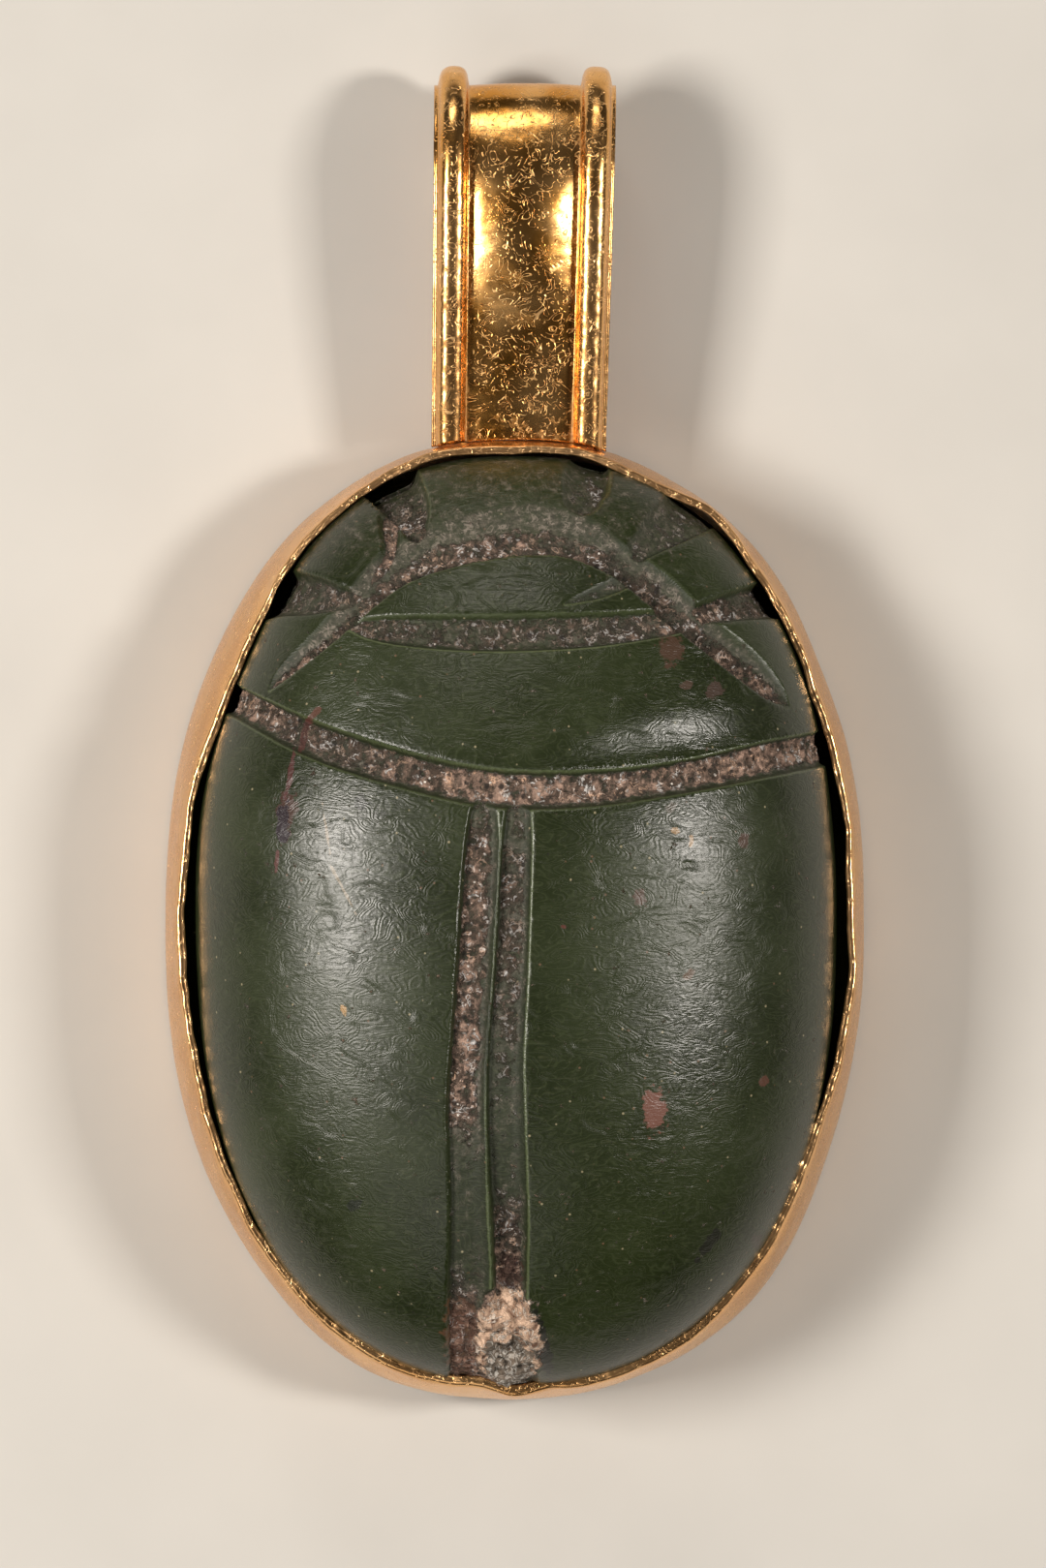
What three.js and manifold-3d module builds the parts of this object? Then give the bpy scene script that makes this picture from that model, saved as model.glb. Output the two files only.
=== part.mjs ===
// Scarab seal in a gold mount: a carved green-stone scarab, a sheet-gold bezel band round its
// edge, and a ribbed suspension loop soldered to the band at the head.
//
// Millimetres, +Z up. The seal lies on its flat seal face, whose centre is the origin. +Y points
// to the head and the loop, +X to the beetle's right-hand side as it is seen from above.

import * as THREE from "three";
import { mergeVertices } from "three/addons/utils/BufferGeometryUtils.js";
import Module from "manifold-3d";

const wasm = await Module();
wasm.setup();

// ---------------------------------------------------------------- driving dimensions

// An oval has one half width, its own length towards the head and the tail, and a power for each
// end: 2 is an ellipse, more is squarer.
const GIRTH = { halfWidth: 16.6, head: 24.2, tail: 23.7, headPower: 2.33, tailPower: 2.27 };
const PLINTH = { halfWidth: 17.7, head: 24.35, tail: 24.35, headPower: 2.33, tailPower: 2.18 };
const BAND = { halfWidth: 18.4, head: 25.3, tail: 25.1, headPower: 2.33, tailPower: 2.15 };

const STONE_HEIGHT = 17.0; // seal face to the top of the wing cases
const PLINTH_HEIGHT = 3.2;
const PLINTH_CHAMFER = 0.3;
const GIRTH_HEIGHT = 6.6; // where the back is widest
const CROWN_POWER = 2.15; // how full the back is: 2 is an ellipsoid
const HEAD_DROP = 0.24; // share of the crown that the head loses at its front edge

const GOLD_SHEET = 0.35;
const BAND_FOOT = 0.25; // the band's lower edge, just clear of the ground
const BAND_TOP = 7.9;
const BAND_LEAN = 0.85; // how far the rim leans in over the stone
const BAND_LEAN_POWER = 2.2; // 1 leans evenly, more keeps the wall upright lower down

const LOOP_WIDTH = 9.25;
const LOOP_SHEET = 0.4;
const LOOP_FRONT_Z = 6.9; // the front strand where it meets the band, at the middle ridge's foot
const LOOP_FRONT_RISE = 0.7; // how much the front strand climbs on its way out
const LOOP_BACK_Z = 1.25;
const LOOP_TIP_Y = 44.6; // the crest of the edge ribs, at the far end
const LOOP_OFFSET_X = 0.15; // the loop sits a little off the middle
const LOOP_LEAN_X = 0.35; // and leans that much further over its length
const LOOP_TAPER = 0.045; // and is that much wider at its far end
const LOOP_OVERCUT = 2.5; // the strip starts this far inside the band's head, then is cut to it
const SOLDER_GAP = 0.1; // between the loop's ends and the band

const RIB_RADIUS = 0.75;
const RIB_STEM = 0.25; // straight part of a rib under its round crest
const EDGE_LIP = 0.25; // flat lip of sheet outside each rib
const RIB_GROOVE = 0.1; // narrow flat between each rib and the middle ridge
const RIDGE_CAMBER = 0.35; // rise of the broad middle ridge between the ribs

const STONE_STEPS = 64; // facets round the stone
const CROWN_STEPS = 10; // rings of facets from the girth to the crown
const BAND_STEPS = 88;
const LOOP_STEPS = 25; // facets along the strip, a fifth of them on each strand
const STRAND_SHARE = 0.2; // share of the strip's steps on a strand; the far end's turn has the rest

// ---------------------------------------------------------------- shared shapes and helpers

const degrees = THREE.MathUtils.degToRad;

function ovalRadius(angle, oval) {
  const towardsHead = Math.sin(angle) > 0;
  const power = towardsHead ? oval.headPower : oval.tailPower;
  const across = Math.abs(Math.cos(angle)) / oval.halfWidth;
  const along = Math.abs(Math.sin(angle)) / (towardsHead ? oval.head : oval.tail);
  return (across ** power + along ** power) ** (-1 / power);
}

// A bump of height 1 at an angle round the oval, fading over a spread, both in degrees.
function bumpAt(angle, centre, spread) {
  const turn = THREE.MathUtils.euclideanModulo(angle - degrees(centre) + Math.PI, 2 * Math.PI) - Math.PI;
  return Math.exp(-((turn / degrees(spread)) ** 2));
}

// Moves every vertex of a geometry to where place(x, y, z) puts it.
function reshape(geometry, place) {
  const position = geometry.getAttribute("position");
  for (let i = 0; i < position.count; i++) {
    position.setXYZ(i, ...place(position.getX(i), position.getY(i), position.getZ(i)));
  }
  return geometry;
}

// A solid turned from [radius, height] pairs about Z, with each point then moved to where
// place(radius, angle, height) puts it.
function turned(profile, steps, place) {
  const points = profile.map(([radius, height]) => new THREE.Vector2(radius, height));
  const lathe = new THREE.LatheGeometry(points, steps).rotateX(Math.PI / 2);
  return solidOf(reshape(lathe, (x, y, z) => place(Math.hypot(x, y), Math.atan2(y, x), z)));
}

function solidOf(geometry) {
  const bare = geometry.index ? geometry.toNonIndexed() : geometry.clone();
  bare.deleteAttribute("normal");
  bare.deleteAttribute("uv");
  const merged = mergeVertices(bare, 1e-4);
  const mesh = new wasm.Mesh({
    numProp: 3,
    vertProperties: merged.getAttribute("position").array,
    triVerts: new Uint32Array(merged.index.array),
  });
  const solid = new wasm.Manifold(mesh);
  return solid.volume() < 0 ? solidOf(flipped(merged)) : solid;
}

function flipped(geometry) {
  const index = geometry.index.array;
  for (let i = 0; i < index.length; i += 3) {
    [index[i + 1], index[i + 2]] = [index[i + 2], index[i + 1]];
  }
  return geometry;
}

function geometryOf(solid) {
  const mesh = solid.getMesh();
  const geometry = new THREE.BufferGeometry();
  geometry.setAttribute("position", new THREE.BufferAttribute(mesh.vertProperties, 3));
  geometry.setIndex(new THREE.BufferAttribute(mesh.triVerts, 1));
  return geometry;
}

// ---------------------------------------------------------------- the stone scarab

// Height of the uncarved back over a point of the plan. It falls away towards the head.
function backHeight(x, y) {
  const reach = Math.min(1, Math.hypot(x, y) / ovalRadius(Math.atan2(y, x), GIRTH));
  const dome = (1 - reach ** CROWN_POWER) ** (1 / CROWN_POWER);
  const towardsHead = THREE.MathUtils.smoothstep(y, 0.2 * GIRTH.head, GIRTH.head);
  return GIRTH_HEIGHT + (STONE_HEIGHT - GIRTH_HEIGHT) * dome * (1 - HEAD_DROP * towardsHead);
}

// The blank before carving. A profile radius up to 1 is a share of the girth oval, and from 1 to
// 2 it goes on out to the plinth oval. The crown's rings are raised to the back's height last.
function stoneBlank() {
  const profile = [
    [0, 0],
    [1, 0],
    [2 - PLINTH_CHAMFER, 0],
    [2, PLINTH_CHAMFER],
    [2, PLINTH_HEIGHT - PLINTH_CHAMFER],
    [1.7, PLINTH_HEIGHT],
    [0.93, PLINTH_HEIGHT + 0.5],
    [0.91, PLINTH_HEIGHT + 1.6],
    [0.97, GIRTH_HEIGHT - 0.8],
  ];
  for (let i = 0; i < CROWN_STEPS; i++) {
    profile.push([Math.cos((i / CROWN_STEPS) * (Math.PI / 2)), GIRTH_HEIGHT]);
  }
  profile.push([0, GIRTH_HEIGHT]);
  return turned(profile, STONE_STEPS, (radius, angle, height) => {
    const girth = ovalRadius(angle, GIRTH);
    const out = radius <= 1 ? radius * girth : girth + (radius - 1) * (ovalRadius(angle, PLINTH) - girth);
    const x = out * Math.cos(angle);
    const y = out * Math.sin(angle);
    const onCrown = height > GIRTH_HEIGHT - 0.1;
    return [x, y, onCrown ? backHeight(x, y) : height];
  });
}

// A gouge cut: a round tool of the given radius follows plan points [x, y, depth] over the back.
// A negative depth lifts the tool clear, which gives the cut a run-out end.
function gouge({ radius, path, steps, sides = 9 }) {
  const track = path.map(([x, y, depth]) => new THREE.Vector3(x, y, backHeight(x, y) + radius - depth));
  const section = new THREE.Shape();
  section.absarc(0, 0, radius, 0, 2 * Math.PI);
  const tool = new THREE.ExtrudeGeometry(section, {
    steps,
    curveSegments: sides,
    extrudePath: new THREE.CatmullRomCurve3(track, false, "catmullrom", 0.5),
  });
  return solidOf(tool);
}

// A scoop: an egg-shaped bite centred on the back, longest along its heading in plan.
function scoop({ x, y, length, width, depth, heading }) {
  const bite = new THREE.SphereGeometry(1, 12, 9);
  bite.scale(length / 2, width / 2, depth).rotateZ(degrees(heading)).translate(x, y, backHeight(x, y));
  return solidOf(bite);
}

// The suture between thorax and wing cases sags in the middle and ends higher on the left. The
// one between head and thorax is nearly straight.
const GOUGES = [
  {
    radius: 1.05, // thorax to wing cases
    steps: 16,
    path: [
      [-16.4, 12.9, 0.7],
      [-14.3, 11.4, 0.65],
      [-10.0, 9.3, 0.6],
      [-5.2, 7.8, 0.6],
      [-0.4, 7.0, 0.65],
      [5.6, 7.3, 0.6],
      [10.8, 8.1, 0.65],
      [14.6, 8.9, 0.7],
      [17.0, 9.3, 0.7],
    ],
  },
  {
    radius: 1.0, // thorax to head
    steps: 12,
    path: [
      [-9.4, 15.3, -0.5],
      [-7.2, 15.3, 0.3],
      [-3.6, 15.0, 0.5],
      [1.2, 15.1, 0.5],
      [5.6, 15.4, 0.5],
      [9.0, 15.8, 0.5],
      [12.2, 16.1, 0.5],
    ],
  },
  {
    radius: 0.8, // the brow: one arc over the head, crossing the suture at both ends
    steps: 18,
    path: [
      [-13.2, 11.4, -0.4],
      [-12.2, 12.4, 0.4],
      [-9.7, 14.7, 0.5],
      [-6.7, 17.4, 0.5],
      [-3.2, 19.3, 0.5],
      [0.3, 20.1, 0.5],
      [3.0, 19.2, 0.5],
      [5.5, 17.7, 0.55],
      [8.4, 15.4, 0.55],
      [11.4, 13.2, 0.5],
      [13.2, 11.8, 0.3],
      [14.2, 10.9, -0.5],
    ],
  },
  {
    radius: 0.82, // left of the two cuts that part the wing cases
    steps: 10,
    path: [
      [-1.6, 7.0, 0.4],
      [-1.8, 4.5, 0.5],
      [-2.4, -2.4, 0.5],
      [-2.7, -9.0, 0.5],
      [-2.9, -14.0, 0.45],
      [-2.9, -19.0, 0.4],
      [-2.8, -23.2, 0.5],
    ],
  },
  {
    radius: 0.82, // right of the two
    steps: 10,
    path: [
      [0.1, 7.0, 0.4],
      [-0.05, 4.5, 0.5],
      [-0.3, -2.4, 0.5],
      [-0.4, -9.0, 0.5],
      [-0.5, -14.0, 0.55],
      [-0.4, -19.5, 0.6],
      [0.0, -23.8, 0.6],
    ],
  },
];

// Bites round the head that leave the toothed front of the beetle: two on the left, three on the
// right. The last one is the chipped tail.
const SCOOPS = [
  { x: -11.9, y: 17.2, length: 5.4, width: 2.1, depth: 3.0, heading: 172 },
  { x: -6.8, y: 21.9, length: 4.8, width: 2.5, depth: 2.8, heading: 142 },
  { x: 3.5, y: 22.7, length: 3.0, width: 2.2, depth: 0.9, heading: 70 },
  { x: 7.9, y: 20.5, length: 4.0, width: 2.0, depth: 0.9, heading: 35 },
  { x: 12.6, y: 16.8, length: 4.8, width: 1.9, depth: 2.0, heading: 8 },
  { x: -0.8, y: -22.0, length: 4.8, width: 4.6, depth: 1.5, heading: 90 },
];

function scarab() {
  let stone = stoneBlank();
  for (const cut of GOUGES) {
    stone = stone.subtract(gouge(cut));
  }
  for (const bite of SCOOPS) {
    stone = stone.subtract(scoop(bite));
  }
  return geometryOf(stone);
}

// ---------------------------------------------------------------- the gold bezel band

// How far the rim leans in over the stone: pressed further in at three places, less at the loop,
// with the small waves of a hand-burnished edge, and one pinch at the tail.
function rimLean(angle) {
  const pressed = 0.3 * bumpAt(angle, 141, 20) + 0.28 * bumpAt(angle, 40, 20) + 0.25 * bumpAt(angle, 213, 17);
  const slack = 0.3 * bumpAt(angle, 88, 14);
  const waves = 0.04 * Math.sin(11 * angle + 0.6) + 0.03 * Math.sin(19 * angle + 2.1);
  const pinch = 0.14 * (bumpAt(angle, 265, 2.2) - bumpAt(angle, 269.5, 2) + bumpAt(angle, 274, 2.5));
  return BAND_LEAN + pressed - slack + waves + pinch;
}

// Distance from the middle to the band's outer face at an angle and a height.
function bandRadius(angle, height) {
  const climb = THREE.MathUtils.clamp((height - BAND_FOOT) / (BAND_TOP - BAND_FOOT), 0, 1);
  return ovalRadius(angle, BAND) - rimLean(angle) * climb ** BAND_LEAN_POWER;
}

// The profile's radii start at 1 on the outer face and grow with the depth into the sheet.
function bezelBand() {
  const rise = BAND_TOP - BAND_FOOT;
  const wall = [0, 0.35, 0.7, 0.96].map((share) => BAND_FOOT + share * rise);
  const profile = [
    ...wall.map((height) => [1, height]),
    [1 + GOLD_SHEET / 2, BAND_TOP],
    ...wall.toReversed().map((height) => [1 + GOLD_SHEET, height]),
  ];
  profile.push(profile[0]);
  const band = turned(profile, BAND_STEPS, (radius, angle, height) => {
    const out = bandRadius(angle, height) - (radius - 1);
    return [out * Math.cos(angle), out * Math.sin(angle), height];
  });
  return geometryOf(band);
}

// ---------------------------------------------------------------- the suspension loop

const RIB_MIDDLE = LOOP_WIDTH / 2 - EDGE_LIP - RIB_RADIUS;
const RIDGE_HALF = RIB_MIDDLE - RIB_RADIUS - RIB_GROOVE;

// Height of the strip's face over its width: a lip, a rib, a cambered ridge, a rib and a lip.
function stripFace(across) {
  const away = Math.abs(across);
  if (away < RIDGE_HALF) return RIDGE_CAMBER * (1 - (away / RIDGE_HALF) ** 2);
  const fromRib = Math.abs(away - RIB_MIDDLE) / RIB_RADIUS;
  return fromRib < 1 ? RIB_STEM + RIB_RADIUS * Math.sqrt(1 - fromRib ** 2) : 0;
}

// The inner face repeats the outer one a sheet lower, with its ribs narrowed by the sheet.
function stripSection() {
  const ribSteps = [1, 0.85, 0, -0.85, -1];
  const across = [
    LOOP_WIDTH / 2,
    ...ribSteps.map((step) => RIB_MIDDLE + step * RIB_RADIUS),
    ...[1, 0.5, 0, -0.5, -1].map((step) => step * RIDGE_HALF),
    ...ribSteps.map((step) => step * RIB_RADIUS - RIB_MIDDLE),
    -LOOP_WIDTH / 2,
  ];
  const face = across.map((u) => new THREE.Vector2(u, stripFace(u)));
  const back = across.toReversed().map((u) => {
    const fromRib = u - Math.sign(u) * RIB_MIDDLE;
    const narrowed = Math.abs(fromRib) > RIB_RADIUS ? 0 : fromRib * (LOOP_SHEET / RIB_RADIUS);
    return new THREE.Vector2(u - narrowed, stripFace(u) - LOOP_SHEET);
  });
  return new THREE.Shape([...face, ...back]);
}

// The strip's route: out along the front, round the far end and back underneath. For a share of
// it from 0 to 1, the point (y, z) and the outward direction (outY, outZ).
function loopRoute(share) {
  const frontZ = LOOP_FRONT_Z + LOOP_FRONT_RISE;
  const radius = (frontZ - LOOP_BACK_Z) / 2;
  const rootY = BAND.head - LOOP_OVERCUT;
  const turnY = LOOP_TIP_Y - radius - RIB_STEM - RIB_RADIUS;
  if (share <= STRAND_SHARE) {
    const along = share / STRAND_SHARE;
    const slope = Math.atan2(LOOP_FRONT_RISE, turnY - rootY) * (1 - along);
    return {
      y: rootY + along * (turnY - rootY),
      z: LOOP_FRONT_Z + LOOP_FRONT_RISE * Math.sin((along * Math.PI) / 2),
      outY: -Math.sin(slope),
      outZ: Math.cos(slope),
    };
  }
  if (share >= 1 - STRAND_SHARE) {
    const along = (1 - share) / STRAND_SHARE;
    return { y: rootY + along * (turnY - rootY), z: LOOP_BACK_Z, outY: 0, outZ: -1 };
  }
  const turn = ((share - STRAND_SHARE) / (1 - 2 * STRAND_SHARE)) * Math.PI;
  return {
    y: turnY + radius * Math.sin(turn),
    z: LOOP_BACK_Z + radius * (1 + Math.cos(turn)),
    outY: Math.sin(turn),
    outZ: Math.cos(turn),
  };
}

// Everything inside the band's outer face, with the solder gap round it, to cut the strip's ends.
function bandEnvelope() {
  const below = BAND_FOOT - 2;
  const above = BAND_TOP + 2;
  const middle = 0.5 * (BAND_FOOT + BAND_TOP);
  const profile = [[0, below], ...[below, BAND_FOOT, middle, BAND_TOP, above].map((z) => [1, z]), [0, above]];
  return turned(profile, BAND_STEPS, (radius, angle, height) => {
    const out = radius * (bandRadius(angle, height) + SOLDER_GAP);
    return [out * Math.cos(angle), out * Math.sin(angle), height];
  });
}

function suspensionLoop() {
  const lengthwise = { depth: 1, steps: LOOP_STEPS, bevelEnabled: false };
  const strip = new THREE.ExtrudeGeometry(stripSection(), lengthwise);
  reshape(strip, (across, out, share) => {
    const at = loopRoute(share);
    const reach = THREE.MathUtils.clamp((at.y - BAND.head) / (LOOP_TIP_Y - BAND.head), 0, 1);
    const x = LOOP_OFFSET_X + LOOP_LEAN_X * reach + across * (1 + LOOP_TAPER * (reach - 0.5));
    return [x, at.y + out * at.outY, at.z + out * at.outZ];
  });
  return geometryOf(solidOf(strip).subtract(bandEnvelope()));
}

// ---------------------------------------------------------------- the pieces

const jasper = new THREE.MeshStandardMaterial({ color: 0x2f3a24, roughness: 0.45, metalness: 0 });
const gold = new THREE.MeshStandardMaterial({ color: 0xd9a441, roughness: 0.25, metalness: 1 });

function piece(name, geometry, material) {
  const mesh = new THREE.Mesh(geometry, material);
  mesh.name = name;
  return mesh;
}

const seal = new THREE.Group();
seal.add(piece("scarab", scarab(), jasper));
seal.add(piece("bezel_band", bezelBand(), gold));
seal.add(piece("suspension_loop", suspensionLoop(), gold));

export default seal;
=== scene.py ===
# %% [markdown]
# # A scarab seal in its gold mount
#
# The real thing is a beetle carved from dark green jasper, a thin band of gold bent round its
# edge, and a wide ribbed loop of gold sheet soldered on at the head. This lesson builds the
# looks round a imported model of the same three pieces. We first load that model, which fixes
# every size and place, and keep its box, because nothing made here may stick out of it.

# %% Load the frame
import math
from functools import partial

import bmesh
import bpy
import numpy as np
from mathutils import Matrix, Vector, noise


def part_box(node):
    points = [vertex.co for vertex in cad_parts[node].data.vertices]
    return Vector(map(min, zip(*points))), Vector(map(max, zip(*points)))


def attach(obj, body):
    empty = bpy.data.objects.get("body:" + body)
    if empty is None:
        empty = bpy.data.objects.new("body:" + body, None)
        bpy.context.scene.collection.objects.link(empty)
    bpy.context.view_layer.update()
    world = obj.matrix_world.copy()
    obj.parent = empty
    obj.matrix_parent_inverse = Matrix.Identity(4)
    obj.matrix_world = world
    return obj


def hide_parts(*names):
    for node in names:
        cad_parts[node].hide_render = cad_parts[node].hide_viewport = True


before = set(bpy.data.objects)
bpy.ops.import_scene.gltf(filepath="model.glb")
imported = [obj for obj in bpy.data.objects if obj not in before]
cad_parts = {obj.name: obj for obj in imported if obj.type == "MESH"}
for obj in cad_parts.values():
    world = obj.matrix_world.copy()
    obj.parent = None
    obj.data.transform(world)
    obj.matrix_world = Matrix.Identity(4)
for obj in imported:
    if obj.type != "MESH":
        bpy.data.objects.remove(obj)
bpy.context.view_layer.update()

MM = 0.001

# %% [markdown]
# ## The camera
#
# A small carving shows best from straight above, through a long lens a forearm's length away, so
# that its sides hardly show. The camera hangs over a point a little nearer to the loop than the
# middle of the seal, and a little to its left, so that more of the left wall of the gold shows.

# %% Camera over the seal
CAMERA_HEIGHT = 350.0
AIM = (0.35, 7.19, 6.6)
SIDE_STEP = -5.0
FIELD_HEIGHT = 81.1
SENSOR = 36.0

camera_data = bpy.data.cameras.new("camera")
camera_data.sensor_width = SENSOR
camera_data.lens = SENSOR * CAMERA_HEIGHT / FIELD_HEIGHT
camera = bpy.data.objects.new("camera", camera_data)
bpy.context.scene.collection.objects.link(camera)
aim = Vector(AIM) * MM
camera.location = aim + Vector((SIDE_STEP, 0, CAMERA_HEIGHT)) * MM
camera.rotation_euler = (0, math.atan2(SIDE_STEP, CAMERA_HEIGHT), 0)
bpy.context.scene.camera = camera
bpy.context.scene.view_settings.view_transform = "Standard"
print("lens", round(camera_data.lens, 1), "mm")

# %% [markdown]
# ## Helpers for the materials
#
# Colours are picked as sRGB hex values, as on a screen, but a shader wants linear light. One
# function turns them. One more adds any shader node, sets its properties, links or fills its
# inputs, and gives back the output asked for, so that a material reads as a list of steps.

# %% Colour and node helpers
def linear(hex_colour):
    """The linear colour, with alpha, of an sRGB hex value such as #2f3a24."""
    parts = [int(hex_colour[i : i + 2], 16) / 255 for i in (1, 3, 5)]
    return (*[p / 12.92 if p <= 0.04045 else ((p + 0.055) / 1.055) ** 2.4 for p in parts], 1.0)


def add_node(tree, kind, inputs=None, take=None, **settings):
    """Adds a node, fills or links its inputs by name or number, and returns the output take."""
    node = tree.nodes.new("ShaderNode" + kind)
    for name, value in settings.items():
        setattr(node, name, value)
    sockets = [s for s in node.inputs if s.enabled]
    for name, value in (inputs or {}).items():
        by_number = isinstance(name, int)
        socket = sockets[name] if by_number else next(s for s in sockets if s.name == name)
        if isinstance(value, bpy.types.NodeSocket):
            tree.links.new(value, socket)
        else:
            socket.default_value = value
    outputs = [s for s in node.outputs if s.enabled]
    return next((s for s in outputs if s.name == take), outputs[0])


def new_material(name):
    """An empty node material, its tree and its output node."""
    material = bpy.data.materials.new(name)
    material.use_nodes = True
    material.node_tree.nodes.clear()
    return material, material.node_tree, material.node_tree.nodes.new("ShaderNodeOutputMaterial")


# %% [markdown]
# ## Floor and light
#
# A plain pale floor and soft studio light. The broad box on the left is the main light and the
# narrower one on the right answers it. Both stand a little towards the head, so the walls of
# the cuts that face the tail stay dark. A wide dim panel at the tail end keeps the rest readable.

# %% Floor
FLOOR_HALF = 0.8

floor_material, tree, output = new_material("floor_matt_paint")
add = partial(add_node, tree)
place = add("TexCoord", take="Object")
brush = add("TexNoise", {"Vector": place, "Scale": 90.0, "Detail": 4.0})
paint = add(
    "Mix", {"Factor": brush, "A": linear("#c3c0ba"), "B": linear("#cfccc6")}, data_type="RGBA",
)
shader = add("BsdfPrincipled", {"Base Color": paint, "Roughness": 0.8})
tree.links.new(shader, output.inputs["Surface"])

floor_shape = bmesh.new()
bmesh.ops.create_grid(floor_shape, x_segments=8, y_segments=8, size=FLOOR_HALF)
floor_mesh = bpy.data.meshes.new("floor")
floor_shape.to_mesh(floor_mesh)
floor_shape.free()
floor_mesh.materials.append(floor_material)
floor = bpy.data.objects.new("floor", floor_mesh)
bpy.context.scene.collection.objects.link(floor)
print("floor laid at z = 0")

# %% Lights
LIGHTS = {
    "left_softbox": {"at": (-290, 30, 320), "size": (160, 100), "watts": 1.68, "colour": "#fff8f0"},
    "right_softbox": {"at": (280, 30, 330), "size": (50, 75), "watts": 1.1, "colour": "#fff8f0"},
    "head_strip": {"at": (-40, 360, 240), "size": (120, 95), "watts": 0.22, "colour": "#fff6ea"},
    "tail_panel": {"at": (-110, -230, 300), "size": (300, 220), "watts": 0.21, "colour": "#fff9f2"},
}
for name, light in LIGHTS.items():
    data = bpy.data.lights.new(name, "AREA")
    data.shape = "RECTANGLE"
    data.size, data.size_y = light["size"][0] * MM, light["size"][1] * MM
    data.energy = light["watts"]
    data.color = linear(light["colour"])[:3]
    lamp = bpy.data.objects.new(name, data)
    bpy.context.scene.collection.objects.link(lamp)
    lamp.location = Vector(light["at"]) * MM
    lamp.rotation_euler = (aim - lamp.location).to_track_quat("-Z", "Y").to_euler()

world = bpy.data.worlds.new("studio")
bpy.context.scene.world = world
world.use_nodes = True
background = world.node_tree.nodes["Background"]
background.inputs["Color"].default_value = linear("#8f8d8a")
background.inputs["Strength"].default_value = 0.1
print(len(LIGHTS), "lights")

# %% [markdown]
# ## Shaping helpers
#
# Every piece is modelled in millimetres with bmesh operators and then bent into its final shape
# by a function that moves all vertices at once. The ovals are superellipses: a power of 2 gives
# an ellipse, and a little more gives the fuller shoulders of a beetle. The head and the tail
# have their own lengths and powers.

# %% Shaping helpers
def reshape(shape, move):
    """Moves every vertex of a bmesh to where move puts it. move gets all of them as an array."""
    places = move(np.array([vertex.co for vertex in shape.verts]))
    for vertex, place in zip(shape.verts, places):
        vertex.co = place


def oval_radius(angle, half_width, head, tail, head_power, tail_power):
    """Distance from the middle of an oval to its edge, at each angle from +X towards +Y."""
    to_head = np.sin(angle) > 0
    power = np.where(to_head, head_power, tail_power)
    across = np.abs(np.cos(angle)) / half_width
    along = np.abs(np.sin(angle)) / np.where(to_head, head, tail)
    return (across**power + along**power) ** (-1 / power)


def bump_at(angle, centre, spread):
    """1 at a centre angle, fading to 0 over a spread, both in degrees."""
    turn = (np.degrees(angle) - centre + 180) % 360 - 180
    return np.exp(-((turn / spread) ** 2))


def bumps_at(angle, bumps):
    """The sum of bumps, each given as its centre, its spread and its amount."""
    return sum(amount * bump_at(angle, centre, spread) for centre, spread, amount in bumps)


# The foot of the gold band strays from a true oval, as it was bent by hand. Amounts are in mm.
FOOT_BUMPS = (
    (42, 13, -0.38), (67, 12, -0.34), (112, 8, -0.15), (130, 20, -0.45), (214, 22, 0.2),
    (250, 12, 0.4), (303, 14, 0.5),
)


def smoothstep(low, high, value):
    """0 below low, 1 above high, and an S-curve between."""
    share = np.clip((value - low) / (high - low), 0, 1)
    return share * share * (3 - 2 * share)


def roughness_of(points, size, octaves=3):
    """Lumpy noise from about -1 to 1 at each point, with lumps of about size mm."""
    return np.array([noise.fractal(Vector(p) / size, 1.0, 2.0, octaves) for p in points])


def finish_piece(shape, name, node, material, fields):
    """Turns a bmesh in millimetres into the piece that replaces a node, with its vertex fields."""
    bmesh.ops.scale(shape, vec=(MM, MM, MM), verts=shape.verts)
    for face in shape.faces:
        face.smooth = True
    mesh = bpy.data.meshes.new(name)
    shape.to_mesh(mesh)
    shape.free()
    for field, values in fields.items():
        mesh.attributes.new(field, "FLOAT", "POINT").data.foreach_set("value", values)
    mesh.materials.append(material)
    piece = bpy.data.objects.new(name, mesh)
    bpy.context.scene.collection.objects.link(piece)
    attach(piece, "root")
    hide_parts(node)
    triangles = sum(len(face.vertices) - 2 for face in mesh.polygons)
    print(name, triangles, "triangles", [round(size / MM, 2) for size in piece.dimensions], "mm")


# %% [markdown]
# ## The stone blank
#
# A seal carver squares a block, rounds it to a blank, and only then cuts the lines. We do the
# same. The block is a cube divided into cells. Its square rings of cells become the oval rings
# of the blank, counted from the crown over the girth and down to the middle of the seal face,
# so the rows follow the edges and no point of the mesh is crowded.

# %% Sizes of the blank
_, stone_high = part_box("scarab")
plinth_half = stone_high.x / MM
stone_top = stone_high.z / MM
GIRTH = dict(half_width=plinth_half - 1.1, head=24.2, tail=23.9, head_power=2.33, tail_power=2.27)
PLINTH = dict(half_width=plinth_half, head=24.35, tail=24.35, head_power=2.33, tail_power=2.18)
FACE_REACH = 0.7
GIRTH_HEIGHT = 6.6
CROWN_POWER = 2.15
HEAD_DROP = 0.24
CHEEK_TRIM = ((132, 17, -0.65),)
CELLS = 72

CROWN_RINGS = 80
LAST_CUT_RING = 92
FACE_RING = 108
# Rings below the crown: ring, reach (1 is the girth oval, 2 the plinth oval), height in mm.
SIDE_RINGS = [
    (CROWN_RINGS, 1.0, GIRTH_HEIGHT),
    (84, 0.97, 5.8),
    (90, 0.91, 4.8),
    (94, 0.93, 3.7),
    (100, 1.7, 3.2),
    (102, 2.0, 2.95),
    (106, 2.0, 0.3),
    (FACE_RING, 1 + FACE_REACH, 0.0),
    (2 * CELLS, 0.0, 0.0),
]


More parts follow.
